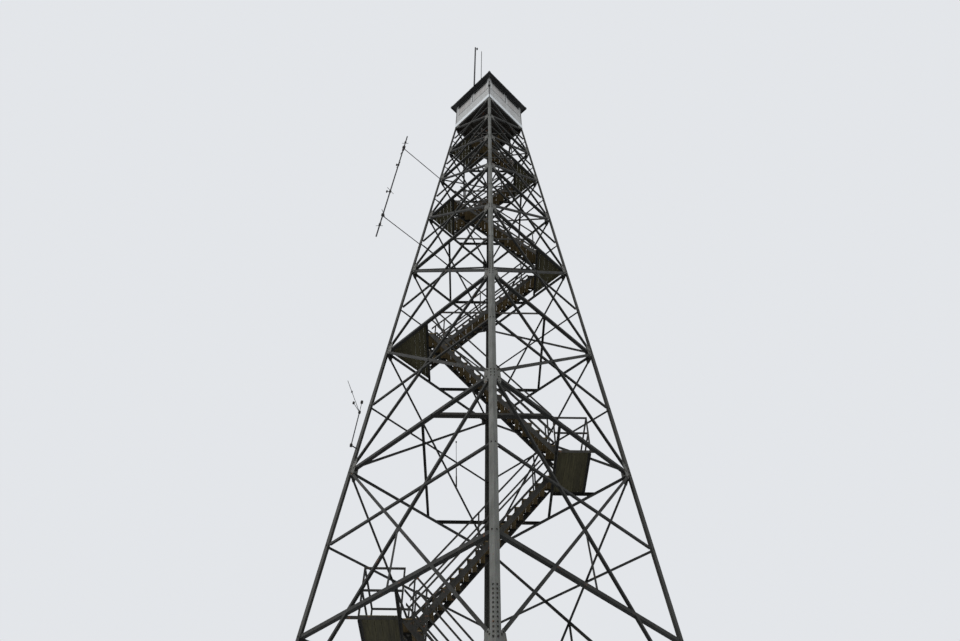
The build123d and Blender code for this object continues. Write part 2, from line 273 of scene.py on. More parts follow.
def fill(tree, made, **inputs):
    """Fills a node's inputs, by name with _ for a space or by number as i0, i1."""
    for key, value in inputs.items():
        place = int(key[1:]) if key[0] == "i" and key[1:].isdigit() else key.replace("_", " ")
        if isinstance(value, bpy.types.NodeSocket):
            tree.links.new(value, made.inputs[place])
        else:
            made.inputs[place].default_value = value


def node(tree, kind, **inputs):
    """Adds a node and fills its inputs."""
    made = tree.nodes.new(kind)
    fill(tree, made, **inputs)
    return made


def coordinates(tree, stretch=(1, 1, 1), turn=0.0):
    """Object coordinates turned about Z and then stretched."""
    source = tree.nodes.new("ShaderNodeTexCoord").outputs["Object"]
    turned_place = node(
        tree, "ShaderNodeMapping", Vector=source, Rotation=(0, 0, math.radians(turn))
    )
    scaled = node(tree, "ShaderNodeMapping", Vector=turned_place.outputs[0], Scale=stretch)
    return scaled.outputs[0]


def noise(tree, place, scale, detail=4.0, roughness=0.55):
    """A noise value at a place."""
    made = node(
        tree, "ShaderNodeTexNoise", Vector=place, Scale=scale, Detail=detail, Roughness=roughness
    )
    return made.outputs["Fac"]


def grey(level):
    """A grey colour."""
    return (level, level, level)


def ramp(tree, value, stops):
    """Colours by value, given as (position, colour) stops."""
    made = node(tree, "ShaderNodeValToRGB", Fac=value)
    band = made.color_ramp
    while len(band.elements) < len(stops):
        band.elements.new(0.5)
    for element, (position, colour) in zip(band.elements, stops):
        element.position = position
        element.color = (*colour, 1)
    return made.outputs["Color"]


def rising(tree, value, start, end, top=1):
    """A share that rises from 0 to top while a value goes from start to end."""
    return ramp(tree, value, [(start, grey(0)), (end, grey(top))])


def blend(tree, first, second, share, mode="MIX"):
    """Mixes two colours by a share."""
    made = tree.nodes.new("ShaderNodeMix")
    made.data_type = "RGBA"
    made.blend_type = mode
    fill(tree, made, i0=share, i6=first, i7=second)
    return made.outputs[2]


def bump(tree, shader, height, distance, strength=1.0):
    """Raises the surface by a height value, in metres at 1."""
    made = node(tree, "ShaderNodeBump", Height=height, Distance=distance, Strength=strength)
    fill(tree, shader, Normal=made.outputs[0])


# Kinds of finish
def weathered_steel(name, dark, pale, rust):
    """Dull galvanised steel with streaks down it, and more rust spots as rust goes from 0 to 1."""
    made, tree, shader = material(name)
    place = coordinates(tree)
    cloud = noise(tree, place, scale=2.2, detail=6)
    streaks = noise(tree, coordinates(tree, STEEL_STREAKS), scale=1.0, detail=5, roughness=0.65)
    spangle = node(tree, "ShaderNodeTexVoronoi", Vector=place, Scale=90.0).outputs["Color"]
    spots = noise(tree, place, scale=7.0, detail=8, roughness=0.7)
    tone = blend(tree, cloud, streaks, share=0.5)
    base = ramp(tree, tone, [(0.30, dark), (0.62, pale)])
    base = blend(tree, base, spangle, share=0.10, mode="OVERLAY")
    edge = RUST_EDGE - RUST_GAIN * rust
    rusted = rising(tree, spots, start=edge - RUST_SOFTNESS, end=edge)
    base = blend(tree, base, STEEL_RUST, share=rusted)
    rough = ramp(tree, tone, [(0.2, grey(0.85)), (0.8, grey(0.6))])
    fill(tree, shader, Base_Color=base, Roughness=rough, Metallic=0.05, Specular_IOR_Level=0.25)
    bump(tree, shader, spots, distance=0.0015, strength=0.6)
    return made


def weathered_wood(name, dark, pale, along, turn, rust_from=1.0):
    """Old planks: grain along one axis of coordinates turned about Z, with stains and rust."""
    made, tree, shader = material(name)
    fine = [GRAIN_ACROSS] * 3
    fine[along] = GRAIN_ALONG
    broad = [STAIN_ACROSS] * 3
    broad[along] = STAIN_ALONG
    grain = noise(tree, coordinates(tree, fine, turn), scale=1.0, detail=6, roughness=0.7)
    patches = noise(tree, coordinates(tree, broad, turn), scale=1.0, detail=4)
    base = ramp(tree, grain, [(0.25, dark), (0.75, pale)])
    stain = ramp(tree, patches, [(0.35, WOOD_STAIN), (0.6, grey(1))])
    base = blend(tree, base, stain, share=0.8, mode="MULTIPLY")
    if rust_from < 1:
        spots = noise(tree, coordinates(tree), scale=2.4, detail=3)
        rusted = rising(tree, spots, rust_from, rust_from + WOOD_RUST_SOFTNESS, top=0.9)
        base = blend(tree, base, WOOD_RUST, share=rusted)
    fill(tree, shader, Base_Color=base, Roughness=0.9)
    bump(tree, shader, grain, distance=0.002)
    return made


def painted_board(name, colour, dirt, stain):
    """Flat paint with rain streaks, as strong as dirt says, and flaking."""
    made, tree, shader = material(name)
    streaks = noise(tree, coordinates(tree, PAINT_STREAKS), scale=1.0, detail=6, roughness=0.6)
    flakes = noise(tree, coordinates(tree), scale=5.0, detail=8, roughness=0.65)
    streaked = rising(tree, streaks, start=0.42, end=0.75, top=dirt)
    flaked = rising(tree, flakes, start=0.66, end=0.72, top=0.6)
    base = blend(tree, (*colour, 1), (*stain, 1), share=streaked)
    base = blend(tree, base, BARE_PAINT, share=flaked)
    fill(tree, shader, Base_Color=base, Roughness=0.62)
    bump(tree, shader, flakes, distance=0.001, strength=0.5)
    return made


def old_concrete(name):
    """Cast concrete with pores and damp stains."""
    made, tree, shader = material(name)
    place = coordinates(tree)
    stains = noise(tree, place, scale=3.0, detail=6, roughness=0.6)
    pores = noise(tree, place, scale=60.0, detail=4, roughness=0.7)
    base = ramp(tree, stains, [(0.3, (0.20, 0.19, 0.17)), (0.7, (0.42, 0.41, 0.38))])
    base = blend(tree, base, pores, share=0.25, mode="OVERLAY")
    fill(tree, shader, Base_Color=base, Roughness=0.92)
    bump(tree, shader, pores, distance=0.003)
    return made


def painted_shade_glass(name):
    """Dusty window glass, near-black as painted shade of the dark room behind it and of the eave's shade.
    """
    made, tree, shader = material(name)
    dust = noise(tree, coordinates(tree), scale=4.0, detail=5)
    # Near-black base colour: painted shade, varied by dust
    base = ramp(tree, dust, [(0.3, (0.015, 0.016, 0.016)), (0.7, (0.045, 0.045, 0.044))])
    fill(tree, shader, Base_Color=base, Roughness=0.12)
    return made


# Finishes: dark and pale tones, and how far wear goes. The steels are lit and shaded copies of one
# galvanised steel: the front leg is lighter, and the other legs, the bracing and the stairs are darker in
# painted shade.
# The front leg's lighter, lit copy of the galvanised steel
FRONT_STEEL = weathered_steel("front_steel", (0.072, 0.073, 0.066), (0.158, 0.160, 0.148), rust=0.25)
# Painted shade: a darker copy of the same steel for the other legs
SHADED_LEG_STEEL = weathered_steel("leg_steel", (0.014, 0.014, 0.012), (0.048, 0.047, 0.041), rust=0.25)
PLATE_STEEL = weathered_steel("plate_steel", (0.055, 0.055, 0.050), (0.150, 0.149, 0.135), rust=0.4)
# Painted shade: a near-black copy of the same steel for the bracing
SHADED_BRACE_STEEL = weathered_steel("brace_steel", (0.005, 0.005, 0.004), (0.024, 0.024, 0.021), rust=0.4)
# Painted shade: a near-black copy of the same steel for the stairs, landing frames and the other steel
# parts
SHADED_STAIR_STEEL = weathered_steel("stair_steel", (0.006, 0.006, 0.005), (0.026, 0.025, 0.021), rust=0.5)
BOLT_STEEL = weathered_steel("bolt_steel", (0.006, 0.005, 0.004), (0.022, 0.020, 0.016), rust=0.8)
ANTENNA_METAL = weathered_steel("antenna_metal", (0.012, 0.012, 0.013), (0.040, 0.040, 0.043), rust=0)
DECK_WOOD = weathered_wood("deck_wood", (0.024, 0.022, 0.010), (0.170, 0.155, 0.078), along=1, turn=-45)
TREAD_WOOD = weathered_wood("tread_wood", (0.045, 0.034, 0.014), (0.250, 0.178, 0.074), along=1, turn=-45)
CAB_WOOD = weathered_wood(
    "cab_wood", (0.010, 0.009, 0.007), (0.046, 0.036, 0.026), along=0, turn=0, rust_from=0.60
)
WALL_PAINT = painted_board("wall_paint", (0.45, 0.455, 0.45), dirt=0.55, stain=(0.27, 0.25, 0.23))
PANEL_PAINT = painted_board("panel_paint", (0.415, 0.403, 0.393), dirt=0.6, stain=(0.24, 0.21, 0.19))
SKIRT_PAINT = painted_board("skirt_paint", (0.74, 0.77, 0.79), dirt=0.2, stain=(0.40, 0.40, 0.38))
TRIM_PAINT = painted_board("trim_paint", (0.085, 0.08, 0.078), dirt=0.5, stain=(0.05, 0.045, 0.04))
# Near-black paint: painted shade on the board and the sash bars under the eave, and the conduit's own
# dark colour
SHADE_AND_DARK_PAINT = painted_board("shade_and_dark_paint", (0.012, 0.013, 0.012), dirt=0.4, stain=(0.03, 0.03, 0.028))
ROOF_PAINT = painted_board("roof_paint", (0.012, 0.012, 0.012), dirt=0.5, stain=(0.035, 0.033, 0.030))
CONCRETE = old_concrete("concrete")
SHADED_GLASS = painted_shade_glass("window_glass")

# Finishes of the CAD nodes by how their names end: the first that fits, the last for all that is left
NODE_FINISHES = (
    ("front_leg", FRONT_STEEL),
    ("_leg", SHADED_LEG_STEEL),
    ("_bracing", SHADED_BRACE_STEEL),
    ("_treads", TREAD_WOOD),
    ("landing_decks", DECK_WOOD),
    ("_wall", WALL_PAINT),
    ("window_glass", SHADED_GLASS),
    ("cab_floor", CAB_WOOD),
    ("cab_roof", ROOF_PAINT),
    ("roof_masts", ANTENNA_METAL),
    ("antenna_array", ANTENNA_METAL),
    ("side_antenna", ANTENNA_METAL),
    ("far_whip", ANTENNA_METAL),
    ("footings", CONCRETE),
    ("", SHADED_STAIR_STEEL),
)


def finish_nodes():
    """Gives each CAD node its finish."""
    for name, piece in nodes.items():
        finish = next(finish for ending, finish in NODE_FINISHES if name.endswith(ending))
        piece.data.materials.clear()
        piece.data.materials.append(finish)


# Mesh helpers
def new_piece(name, mesh, finish):
    """Puts a bmesh in the scene as a piece of the tower."""
    data = bpy.data.meshes.new(name)
    mesh.to_mesh(data)
    mesh.free()
    data.materials.append(finish)
    piece = bpy.data.objects.new(name, data)
    bpy.context.scene.collection.objects.link(piece)
    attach(piece, BODY)
    return piece


def islands(name):
    """The separate solids of a CAD node, each as a list of its points."""
    mesh = bmesh.new()
    mesh.from_mesh(nodes[name].data)
    bmesh.ops.remove_doubles(mesh, verts=mesh.verts, dist=WELD)
    reached = set()
    found = []
    for start in mesh.verts:
        if start in reached:
            continue
        reached.add(start)
        group = [start]
        for vertex in group:
            for edge in vertex.link_edges:
                other = edge.other_vert(vertex)
                if other not in reached:
                    reached.add(other)
                    group.append(other)
        found.append([vertex.co.copy() for vertex in group])
    mesh.free()
    return found


def extent(values):
    """The least and the greatest of some values."""
    values = list(values)
    return min(values), max(values)


def hull(flat):
    """The convex outline of points of a plane, anticlockwise."""
    order = sorted(flat)

    def bend(a, b, c):
        return (b[0] - a[0]) * (c[1] - a[1]) - (b[1] - a[1]) * (c[0] - a[0])

    def chain(points):
        kept = []
        for point in points:
            while len(kept) > 1 and bend(kept[-2], kept[-1], point) <= STRAIGHT:
                kept.pop()
            kept.append(point)
        return kept[:-1]

    return chain(order) + chain(order[::-1])


def clipped(corners, normal, limit):
    """The part of a convex outline where the distance along a direction is under a limit."""
    kept = []
    for (ax, ay), (bx, by) in zip(corners, corners[1:] + corners[:1]):
        a = ax * normal[0] + ay * normal[1] - limit
        b = bx * normal[0] + by * normal[1] - limit
        if a <= 0:
            kept.append((ax, ay))
        if a * b < 0:
            share = a / (a - b)
            kept.append((ax + (bx - ax) * share, ay + (by - ay) * share))
    return kept


def skin(mesh, rings):
    """Adds the solid whose surface joins each ring of points to the next, and returns its faces."""
    loops = [[mesh.verts.new(point) for point in ring] for ring in rings]
    faces = [mesh.faces.new(loops[0]), mesh.faces.new(loops[-1][::-1])]
    for near, far in zip(loops, loops[1:]):
        for i in range(len(near)):
            j = (i + 1) % len(near)
            faces.append(mesh.faces.new((near[j], near[i], far[i], far[j])))
    bmesh.ops.recalc_face_normals(mesh, faces=faces)
    return faces


def prism(mesh, corners, push):
    """Adds the solid between a flat outline and its copy moved by push."""
    return skin(mesh, [corners, [Vector(corner) + push for corner in corners]])


def rounded(mesh, faces, size):
    """Bevels the edges of some faces."""
    edges = list(dict.fromkeys(edge for face in faces for edge in face.edges))
    bmesh.ops.bevel(mesh, geom=edges, offset=size, segments=1, affect="EDGES")


def board(mesh, plan, low, high):
    """Adds one bevelled board with a plan outline between two heights."""
    faces = prism(mesh, [(x, y, low) for x, y in plan], UP * (high - low))
    rounded(mesh, faces, BOARD_BEVEL)


def turned(point, quarter):
    """A point turned by quarter turns about the tower's middle."""
    return Matrix.Rotation(math.radians(90 * quarter), 3, "Z") @ Vector(point)


def block(mesh, low, high, quarter=0, bevel=0.0):
    """Adds a box between two corners, turned by quarter turns, with its edges cut back by bevel."""
    (x0, y0, z0), (x1, y1, z1) = low, high
    plan = ((x0, y0), (x1, y0), (x1, y1), (x0, y1))
    faces = prism(mesh, [turned((x, y, z0), quarter) for x, y in plan], UP * (z1 - z0))
    if bevel:
        rounded(mesh, faces, bevel)


def tube(mesh, points, radius, sides=10):
    """Adds a round bar along a line of points."""
    rings = []
    for index, point in enumerate(points):
        before = points[max(index - 1, 0)]
        after = points[min(index + 1, len(points) - 1)]
        along = (Vector(after) - Vector(before)).normalized()
        side = along.cross(ASKEW).normalized()
        up = along.cross(side)
        ring = []
        for step in range(sides):
            angle = math.tau * step / sides
            ring.append(Vector(point) + (side * math.cos(angle) + up * math.sin(angle)) * radius)
        rings.append(ring)
    skin(mesh, rings)


def hexagon(mesh, centre, outward, radius, length):
    """Adds a six-sided head or nut that stands on a surface."""
    outward = outward.normalized()
    side = outward.orthogonal().normalized()
    up = outward.cross(side)
    corners = []
    for step in range(6):
        angle = math.radians(60 * step + BOLT_TURN)
        corners.append(centre + side * radius * math.cos(angle) + up * radius * math.sin(angle))
    prism(mesh, corners, outward * length)


# Places on the tower
def half(height):
    """Half the width of the tower over the outer faces of its legs at a height."""
    return CAB_HALF + BATTER * (FLOOR_HEIGHT - height)


def on_face(face, across, height, depth=0.0):
    """A point of a side: distance across it, height, and depth in from the legs' outer faces."""
    return turned((half(height) - depth, across, height), face)


def way_in(face):
    """The level direction from a side to the middle of the tower."""
    return turned((-1, 0, 0), face)


def on_slope(slope, x, y):
    """A point on the outside of a roof slope, by its plan on the slope that faces +X."""
    return turned((x, y, APEX - ROOF_RISE * x), slope)


def stair_place(point):
    """A point's distance along the line to the right corner, and across it."""
    return (point.x + point.y) * DIAGONAL, (point.y - point.x) * DIAGONAL


def stair_plan(r, s):
    """The plan point at a distance along the line to the right corner, and across it."""
    return (r - s) * DIAGONAL, (r + s) * DIAGONAL


def stair_rectangle(start, end, near, far):
    """The plan of a rectangle that lies along the line to the right corner."""
    return [stair_plan(r, s) for r, s in ((start, near), (end, near), (end, far), (start, far))]


def stair_extents(points):
    """The extents of a solid along the line to the right corner, across it, and in height."""
    places = [(*stair_place(point), point.z) for point in points]
    return [extent(values) for values in zip(*places)]


# Heights of the landings, of the joints at the legs, and of the struts and leg splices
LEVELS = sorted(min(point.z for point in points) for points in islands("landing_decks"))
BAY_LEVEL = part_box("front_right_base_bracing")[1][2] - STRUT_WIDTH / 2
JOINT_HEIGHTS = [FOOT_JOINT, BAY_LEVEL, *LEVELS[2:], PLATFORM_BOTTOM]
PANELS = list(zip(JOINT_HEIGHTS, JOINT_HEIGHTS[1:]))
STRUT_HEIGHTS = [LEVELS[0] / 2, BAY_LEVEL + STRUT_WIDTH / 2, (LEVELS[1] + LEVELS[2]) / 2]
STRUT_HEIGHTS += [(low + high) / 2 for low, high in PANELS[2:]]
SPLICE_LEVELS = (BAY_LEVEL, LEVELS[3], LEVELS[5])


# Landings and flights
def deck_boards():
    """The plank floors of the landings, with gaps between the planks."""
    mesh = bmesh.new()
    for points in islands("landing_decks"):
        corners = hull([(point.x, point.y) for point in points])
        low, high = extent(point.z for point in points)
        left, right = extent(x * RIGHTWARD[0] + y * RIGHTWARD[1] for x, y in corners)
        count = max(1, round((right - left + BOARD_GAP) / (BOARD_WIDTH + BOARD_GAP)))
        pitch = (right - left + BOARD_GAP) / count
        for index in range(count):
            start = left + index * pitch
            part = clipped(corners, LEFTWARD, -start)
            part = clipped(part, RIGHTWARD, start + pitch - BOARD_GAP)
            if len(part) > 2:
                board(mesh, part, low, high)
    boards = new_piece("deck_boards", mesh, DECK_WOOD)
    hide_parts("landing_decks")


def treads():
    """Two planks to each tread, on an angle cleat at each end."""
    cleats = bmesh.new()
    for group in ("lower_treads", "middle_treads", "upper_treads"):
        mesh = bmesh.new()
        for points in islands(group):
            (start, end), (near, far), (low, high) = stair_extents(points)
            plank = (end - start - PLANK_GAP) / 2
            for place in (start, end - plank):
                board(mesh, stair_rectangle(place, place + plank, near, far), low, high)
            for edge, inward in ((near, 1), (far, -1)):
                for width, drop in ((CLEAT, FIN_THICKNESS), (FIN_THICKNESS, CLEAT)):
                    plan = stair_rectangle(start, end, edge, edge + inward * width)
                    prism(cleats, [(x, y, low) for x, y in plan], -UP * drop)
        planks = new_piece(f"{group}_planks", mesh, TREAD_WOOD)
        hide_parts(group)
    new_piece("tread_cleats", cleats, SHADED_STAIR_STEEL)


def tie_flange():
    """The broad level leg of the tie in front of the third landing."""
    mesh = bmesh.new()
    ties = [stair_extents(points) for points in islands("landing_frame_3")]
    (start, end), (near, _), (low, _) = min(ties, key=lambda extents: extents[1][0])
    plan = stair_rectangle(start, end, near, near + TIE_FLANGE)
    prism(mesh, [(x, y, low) for x, y in plan], UP * FIN_THICKNESS)
    new_piece("front_tie_flange", mesh, SHADED_STAIR_STEEL)


def lower_chord(outline):
    """The ends of the longest lower edge of an anticlockwise outline, where these run rightward."""
    edges = [(a, b) for a, b in zip(outline, outline[1:] + outline[:1]) if b.x > a.x]
    return max(edges, key=lambda edge: (edge[1] - edge[0]).length)


def stringer_webs():
    """Deep webs over the lower chords of the flights' sides, as on real channels."""
    mesh = bmesh.new()
    flights = [name for name in sorted(nodes) if name.startswith("flight_")]
    sides = [points for name in flights for points in islands(name)]
    for points in sides:
        places = [stair_place(point) for point in points]
        near, far = extent(s for r, s in places)
        face = (near + far) / 2 - STRINGER_WEB / 2
        flat = [(r, point.z) for (r, s), point in zip(places, points)]
        start, end = lower_chord([Vector(corner) for corner in hull(flat)])
        run = (end - start).normalized()
        rise = Vector((-run.y, run.x))
        start, end = start + run * STRINGER_TRIM, end - run * STRINGER_TRIM
        bottom, top = rise * STRINGER_BOTTOM, rise * STRINGER_TOP
        web = (start + bottom, end + bottom, end + top, start + top)
        corners = [(*stair_plan(r, face), z) for r, z in web]
        prism(mesh, corners, Vector((*stair_plan(0, STRINGER_WEB), 0)))
    new_piece("stringer_webs", mesh, SHADED_STAIR_STEEL)


# Lattice sides
def bolt(mesh, face, across, height, plate_depth):
    """A bolt through a side: its head on the outer plate and its nut behind the bars."""
    out = -way_in(face)
    hexagon(mesh, on_face(face, across, height, plate_depth), out, BOLT_RADIUS, BOLT_HEAD)
    hexagon(mesh, on_face(face, across, height, BAR_BACK), -out, BOLT_RADIUS, BOLT_NUT)


def joints():
    """The joints of a side at a leg: height, and the heights that their diagonals come from."""
    for index, height in enumerate(JOINT_HEIGHTS):
        others = JOINT_HEIGHTS[max(index - 1, 0):index] + JOINT_HEIGHTS[index + 1:index + 2]
        yield height, others


def diagonals(height, others, side):
    """The directions in which diagonals leave a joint: across the side, and up."""
    for other in others:
        yield Vector((-side * (half(other) + half(height)), other - height)).normalized()


def plate_outline(height, others, side):
    """The corners of the plate over a joint: distance across the side, and height."""
    edge = side * (half(height) - PLATE_START)
    corners = [(edge, height + PLATE_HALF), (edge, height - PLATE_HALF)]
    if height != FOOT_JOINT:
        inner = edge - side * GIRT_PLATE_REACH
        corners += [(inner, height), (inner, height - GIRT_WIDTH)]
    for run in diagonals(height, others, side):
        left = Vector((-run.y, run.x)) * PLATE_MARGIN
        tip = Vector((side * half(height), height)) + run * (PLATE_START + PLATE_REACH)
        corners += [tuple(tip + left), tuple(tip - left)]
    return hull(corners)


def joint_bolts(height, others, side):
    """The bolts of a joint: distance across the side, height, and depth of the plate they hold."""
    if height != FOOT_JOINT:
        for reach in BOLT_REACHES:
            yield side * (half(height) - reach), height - GIRT_WIDTH / 2, PLATE_DEPTH
    for run in diagonals(height, others, side):
        for reach in BOLT_REACHES:
            place = Vector((side * half(height), height)) + run * (reach + DIAGONAL_BOLT_SHIFT)
            yield place.x, place.y, PLATE_DEPTH
    for lift in (-LEG_BOLT_LIFT, 0, LEG_BOLT_LIFT):
        yield side * (half(height + lift) - LEG_BOLT_EDGE), height + lift, 0.0


def joint_plates():
    """Plates and bolts where the bars of a side meet a leg, and bolts where bars cross."""
    plates = bmesh.new()
    bolts = bmesh.new()
    for face in SIDES:
        for side in (1, -1):
            for height, others in joints():
                outline = plate_outline(height, others, side)
                corners = [on_face(face, across, up, PLATE_DEPTH) for across, up in outline]
                prism(plates, corners, way_in(face) * PLATE_THICKNESS)
                for across, up, depth in joint_bolts(height, others, side):
                    bolt(bolts, face, across, up, depth)
            for height in (*STRUT_HEIGHTS, *LEVELS[:2]):
                across = side * (half(height) - LEG_BOLT_EDGE)
                bolt(bolts, face, across, height - STRUT_WIDTH / 2, 0.0)
        for low, high in PANELS:
            crossing = low + (high - low) * half(low) / (half(low) + half(high))
            bolt(bolts, face, 0, crossing, BAR_FRONT)
    new_piece("joint_plates", plates, PLATE_STEEL)
    new_piece("joint_bolts", bolts, BOLT_STEEL)


def splice_section(face, height):
    """The section of a splice angle at a height, against the inner faces of a leg."""
    outer = half(height) - BAR_FRONT
    inner = outer - BAR_BACK + BAR_FRONT
    tip = outer - SPLICE_WIDTH
    plan = (
        (outer, -outer),
        (outer, -tip),
        (inner, -tip),
        (inner, -inner),
        (tip, -inner),
        (tip, -outer),
    )
    return [turned((x, y, height), face) for x, y in plan]


def leg_splices():
    """Angles inside the legs where their sections meet, with a close row of bolts."""
    angles = bmesh.new()
    bolts = bmesh.new()
    for face in SIDES:
        for level in SPLICE_LEVELS:
            for step in range(SPLICE_BOLTS):
                height = level + SPLICE_START + step * SPLICE_PITCH
                for side in (1, -1):
                    bolt(bolts, face, side * (half(height) - SPLICE_EDGE), height, 0.0)
            skin(angles, [splice_section(face, level + lift) for lift in SPLICE_ANGLE])
    new_piece("leg_splice_angles", angles, SHADED_LEG_STEEL)
    new_piece("leg_splice_bolts", bolts, BOLT_STEEL)


def strut_fins():
    """The standing legs of the struts, along their lower edges."""
    mesh = bmesh.new()
    for face in SIDES:
        for height in STRUT_HEIGHTS:
            low = height - STRUT_WIDTH
            high = low + FIN_THICKNESS
            reach = half(height) - FIN_GAP
            fin = ((-reach, low), (reach, low), (reach, high), (-reach, high))
            corners = [on_face(face, across, up, BAR_BACK) for across, up in fin]
            prism(mesh, corners, way_in(face) * STRUT_FIN)
    new_piece("strut_fins", mesh, SHADED_BRACE_STEEL)


# Cab
def cab_boards():
    """The skirt round the cab's foot, the corner and middle trims, and a near-black board under the eave
    that is painted shade of the overhang.
    """
    skirt = bmesh.new()
    trims = bmesh.new()
    shade_board = bmesh.new()
    low, high = FLOOR_HEIGHT + SKIRT[0], FLOOR_HEIGHT + SKIRT[1]
    panel_top = FLOOR_HEIGHT + PANEL_TOP
    sill = FLOOR_HEIGHT + SILL_HEIGHT
    head = WALL_TOP - SHADE_BOARD_HEIGHT
    board_face = CAB_HALF + SKIRT_THICKNESS
    trim_face = CAB_HALF + TRIM_THICKNESS
    shade_board_face = CAB_HALF + SHADE_BOARD_THICKNESS
    post = CAB_HALF - CORNER_POST
    inner = CAB_HALF - CORNER_TRIM
    top = WALL_TOP - EAVE_GAP
    for wall in SIDES:
        block(skirt, (CAB_HALF, -CAB_HALF, low), (board_face, board_face, high), wall, SKIRT_BEVEL)
        block(trims, (CAB_HALF, inner, high), (trim_face, trim_face, panel_top), wall)
        block(trims, (CAB_HALF, -trim_face, high), (trim_face, -inner, panel_top), wall)
        block(trims, (CAB_HALF, -MULLION_HALF, sill), (trim_face, MULLION_HALF, head), wall)
        # A near-black board over the top of the wall: painted shade under the eave
        block(shade_board, (CAB_HALF, -post, head), (shade_board_face, post, top), wall, SHADE_BOARD_BEVEL)
    new_piece("cab_skirt", skirt, SKIRT_PAINT)
    new_piece("cab_trims", trims, TRIM_PAINT)
    new_piece("cab_shade_board", shade_board, SHADE_AND_DARK_PAINT)


def sash_bar(mesh, wall, start, bottom, end, top):
    """Adds a bar of a sash, from start to end across a wall, between two heights."""
    low = (GLASS_FACE + GLASS_GAP, start, bottom)
    high = (CAB_HALF + SASH_PROUD, end, top)
    block(mesh, low, high, wall, SASH_BEVEL)


def windows():
    """The sashes: a painted panel below, and above it glass and bars kept near-black as painted shade
    under the eave, in a frame with a sill.
    """
    frames = bmesh.new()
    panels = bmesh.new()
    bars = bmesh.new()
    sill = FLOOR_HEIGHT + SILL_HEIGHT
    split = FLOOR_HEIGHT + PANEL_TOP
    head = FLOOR_HEIGHT + HEAD_HEIGHT
    inner = GLASS_FACE + GLASS_GAP
    outer = CAB_HALF + SASH_PROUD + SILL_PROUD
    for wall in SIDES:
        for middle in (-WINDOW_CENTRE, WINDOW_CENTRE):
            left, right = middle - WINDOW_HALF, middle + WINDOW_HALF
            sash_bar(frames, wall, left, sill, left + SASH_STILE, split)
            sash_bar(frames, wall, right - SASH_STILE, sill, right, split)
            sash_bar(frames, wall, left, split - SASH_RAIL, right, split)
            # Bars round the glass in near-black paint: painted shade under the eave
            sash_bar(bars, wall, left, split, left + SASH_RAIL, head)
            sash_bar(bars, wall, right - SASH_RAIL, split, right, head)
            sash_bar(bars, wall, left, head - SASH_RAIL, right, head)
            low = (inner, left - SILL_SPREAD, sill - SILL_DEPTH)
            high = (outer, right + SILL_SPREAD, sill)
            block(frames, low, high, wall, SILL_BEVEL)
            low = (inner, left + SASH_STILE, sill)
            high = (inner + PANEL_THICKNESS, right - SASH_STILE, split - SASH_RAIL)
            block(panels, low, high, wall, PANEL_BEVEL)
    new_piece("window_frames", frames, WALL_PAINT)
    new_piece("window_panels", panels, PANEL_PAINT)
    new_piece("window_bars_in_shade", bars, SHADE_AND_DARK_PAINT)


def roof_trim():
    """Standing seams on the four slopes, caps over the hips and a cap at the top."""
    seams = bmesh.new()
    caps = bmesh.new()
    out = Vector((ROOF_RISE, 0, 1)).normalized()
    for slope in SIDES:
        away = turned(out, slope)
        for step in range(1, SEAM_COUNT):
            middle = EAVE_HALF * (2 * step / SEAM_COUNT - 1)
            top = abs(middle) + SEAM_START
            left, right = middle - SEAM_HALF, middle + SEAM_HALF
            plan = ((EAVE_HALF, left), (EAVE_HALF, right), (top, right), (top, left))
            prism(seams, [on_slope(slope, x, y) for x, y in plan], away * SEAM_HEIGHT)
        for mirror in (1, -1):
            plan = (
                (EAVE_HALF, EAVE_HALF - HIP_WIDTH),
                (EAVE_HALF, EAVE_HALF),
                (HIP_START, HIP_START),
                (HIP_WIDTH, 0.0),
            )
            corners = [on_slope(slope, x, mirror * y) for x, y in plan]
            prism(caps, corners, away * HIP_THICKNESS)
    bmesh.ops.create_cone(
        caps,
        cap_ends=True,
        segments=TOP_CAP_SIDES,
        radius1=TOP_CAP_RADII[0],
        radius2=TOP_CAP_RADII[1],
        depth=TOP_CAP_HEIGHT,
        matrix=Matrix.Translation((0, 0, APEX + TOP_CAP_LIFT)),
    )
    new_piece("roof_seams", seams, ROOF_PAINT)
    new_piece("roof_caps", caps, ROOF_PAINT)


def corner_conduit():
    """The conduit up the cab's front corner, and its round box, which faces outwards."""
    mesh = bmesh.new()
    corner = CAB_HALF + TRIM_THICKNESS + CONDUIT_STANDOFF
    foot = Vector((corner, -corner, PLATFORM_BOTTOM + CONDUIT_FOOT))
    head = Vector((corner, -corner, FLOOR_HEIGHT + CONDUIT_TOP))
    outward = Vector((1, -1, 0))
    tube(mesh, [foot, head], CONDUIT_RADIUS)
    tube(mesh, [head - outward * BOX_BACK, head + outward * BOX_FRONT], BOX_RADIUS, sides=14)
    new_piece("corner_conduit", mesh, SHADE_AND_DARK_PAINT)


# Masts and antennas
def axis_of(points):
    """The two ends of an upright bar, lower end first."""
    ends = []
    for level in extent(point.z for point in points):
        near = [point for point in points if abs(point.z - level) < END_BAND]
        ends.append(sum(near, Vector()) / len(near))
    return ends


